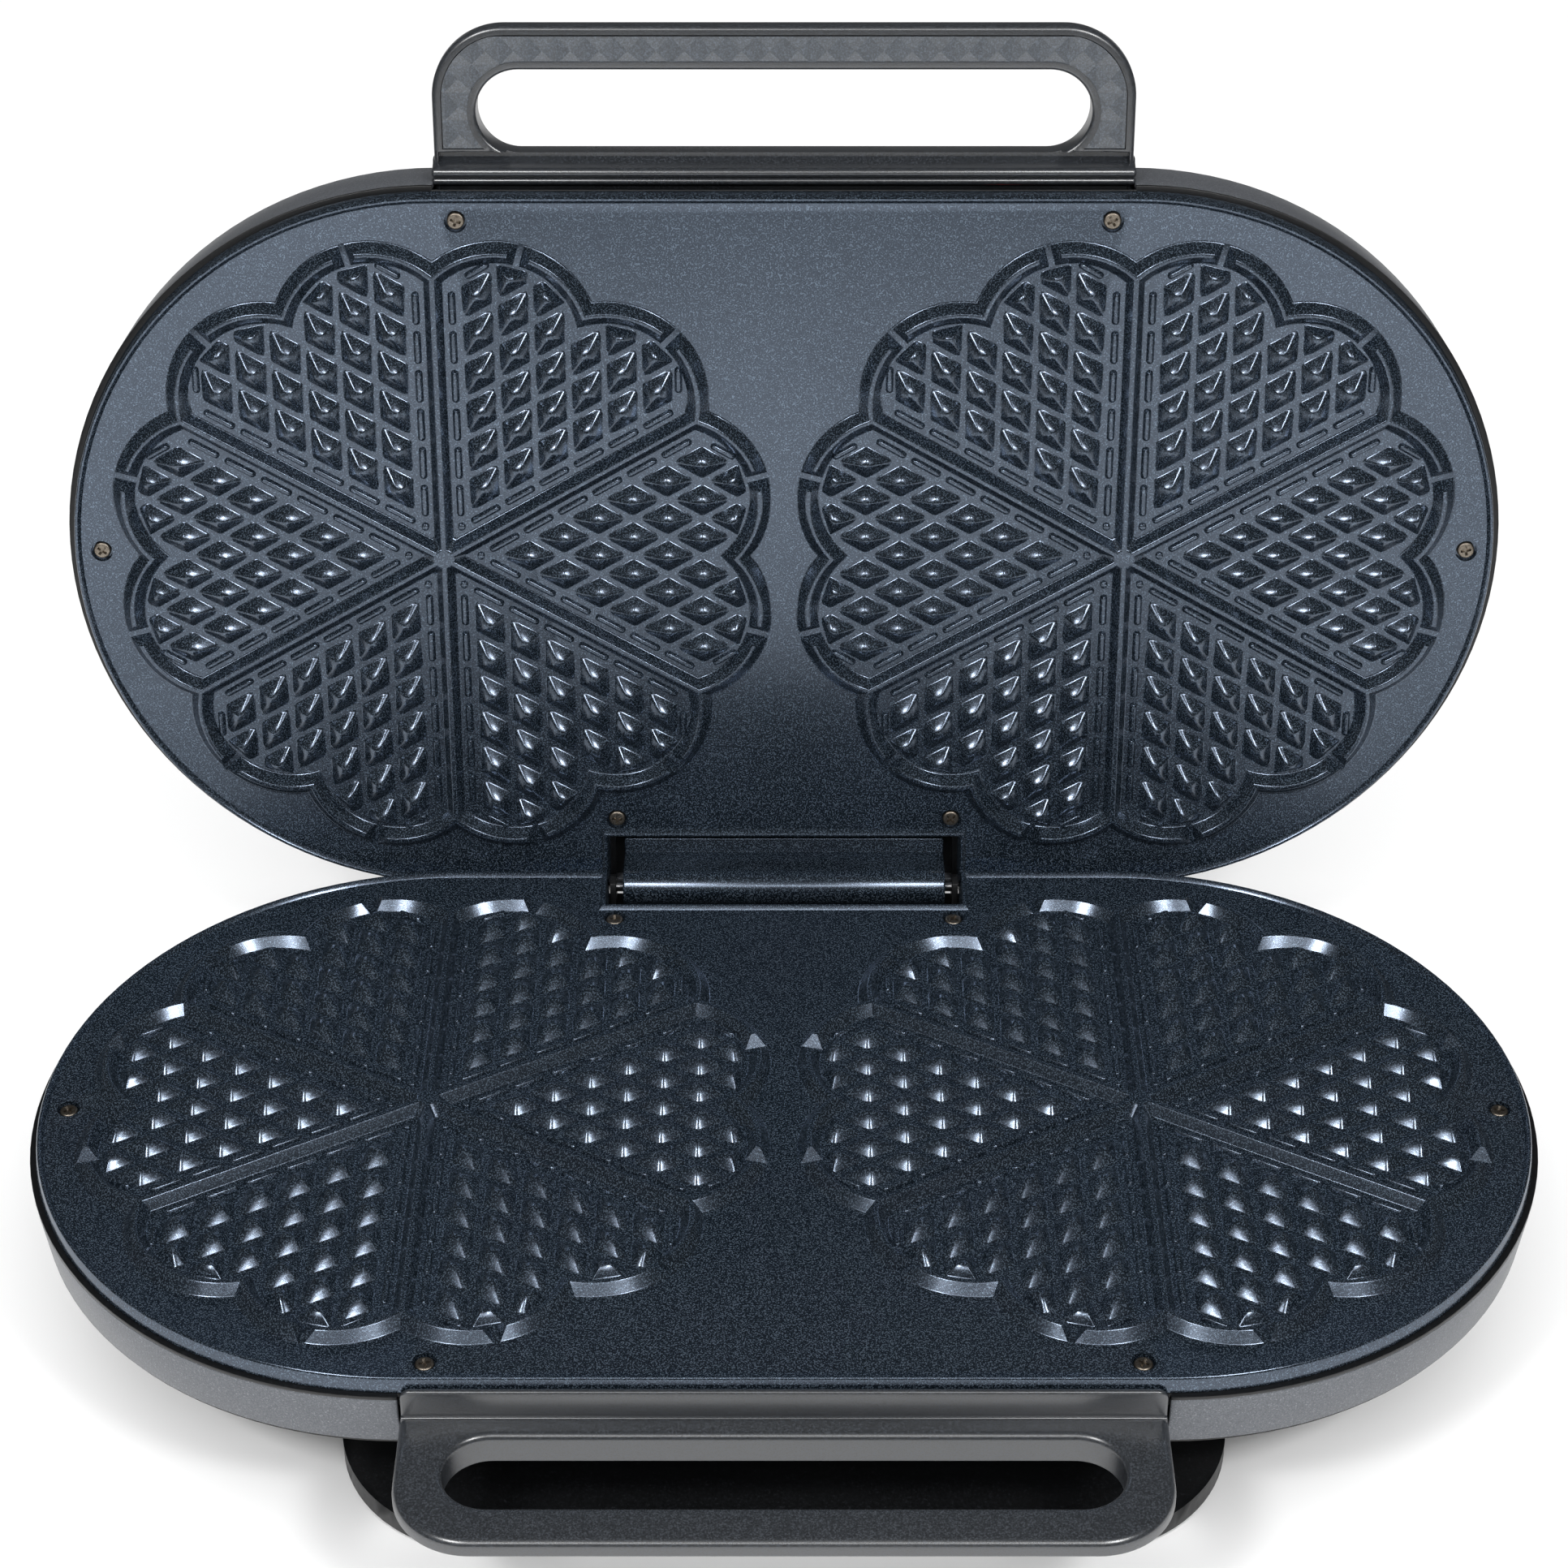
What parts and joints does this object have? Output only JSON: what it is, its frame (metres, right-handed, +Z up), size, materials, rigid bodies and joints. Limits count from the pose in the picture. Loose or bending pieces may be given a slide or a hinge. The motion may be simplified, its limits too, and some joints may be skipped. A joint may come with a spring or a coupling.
{
  "type": "double waffle maker",
  "caption": "Countertop waffle maker with two round heart-pattern plates side by side, hinged lid, loop handles and a low stand, shown open.",
  "frame": {"origin": "bottom centre of the bounding box, on the table under the open cooker", "axes": "+X left to right as the user sees it, +Y from the grips back to the hinge, +Z up"},
  "size_m": [0.4474, 0.3583, 0.3324],
  "materials": {
    "coated_plate": "dark non-stick coating with fine sparkle, over cast aluminium",
    "band_paint": "satin metallic grey",
    "black_plastic": "satin black",
    "grip_plastic": "fine-grained charcoal",
    "grip_inlay": "slate grey, soft",
    "sole_rubber": "matt",
    "screw_steel": "nickelled",
    "hinge_steel": "bright",
    "heater_sheath": "dull",
    "tray_aluminium": "bright",
    "terminal_ceramic": "unglazed ceramic look",
    "red_lens": "clear red lens",
    "green_lens": "clear green lens"
  },
  "bodies": {
    "base": {"base_housing": "band_paint", "base_frame": "black_plastic", "lower_plate": "coated_plate", "lower_heating_element": "heater_sheath", "lower_reflector": "tray_aluminium", "lower_plate_screws": "screw_steel", "bottom_cover": "black_plastic", "stand": "black_plastic", "stand_screws": "screw_steel", "rubber_feet": "sole_rubber", "lower_handle": "grip_plastic", "lower_handle_screws": "screw_steel", "hinge_brackets": "hinge_steel", "terminal_block": "terminal_ceramic", "cord_grommet": "sole_rubber"},
    "lid": {"lid_housing": "band_paint", "lid_frame": "black_plastic", "upper_plate": "coated_plate", "upper_heating_element": "heater_sheath", "upper_reflector": "tray_aluminium", "upper_plate_screws": "screw_steel", "hinge_knuckle": "coated_plate", "hinge_pins": "hinge_steel", "hinge_screws": "screw_steel", "lid_handle": "grip_plastic", "handle_grip_panel": "grip_inlay", "lid_handle_screws": "screw_steel", "thermostat": "terminal_ceramic", "thermal_fuse": "terminal_ceramic", "power_lamp": "red_lens", "ready_lamp": "green_lens"},
    "dial": {"temperature_dial": "black_plastic"}
  },
  "joints": [
    {"name": "lid_hinge", "type": "hinge", "parent": "base", "child": "lid", "pos_m": [0, 0.0975, 0.062], "axis": [1, 0, 0], "range_deg": [0, 98.7]},
    {"name": "dial_turn", "type": "hinge", "parent": "lid", "child": "dial", "pos_m": [0, 0.1656, 0.2358], "axis": [0, 0.9885, -0.1513], "range_deg": [0, 270]}
  ]
}
